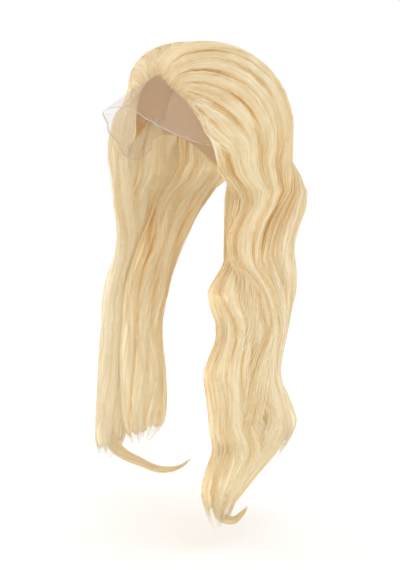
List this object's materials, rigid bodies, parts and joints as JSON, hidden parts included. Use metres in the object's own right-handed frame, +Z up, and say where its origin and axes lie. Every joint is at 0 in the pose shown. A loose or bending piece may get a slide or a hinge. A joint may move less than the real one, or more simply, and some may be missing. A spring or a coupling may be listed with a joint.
{
  "type": "lace front wig",
  "caption": "Long wavy blonde lace front wig in its worn shape: net cap, sheer lace front with untrimmed margin, parted crown hair and hanging wavy locks.",
  "frame": {"origin": "inner crown of the cap, the point that rests on top of the head", "axes": "+Z up, the wearer faces -Y, +X is the wearer's left"},
  "size_m": [0.248, 0.2748, 0.6429],
  "materials": {
    "lace": "matte",
    "cap_net": "matte",
    "blonde_hair": "satin"
  },
  "bodies": {
    "root": {"lace_front": "lace", "cap_net": "cap_net", "crown_hair_left": "blonde_hair", "crown_hair_right": "blonde_hair", "front_tress_left": "blonde_hair", "side_tress_left": "blonde_hair", "back_tress_left": "blonde_hair", "back_tress_right": "blonde_hair", "nape_tress_right": "blonde_hair", "front_tress_right": "blonde_hair"}
  },
  "joints": []
}
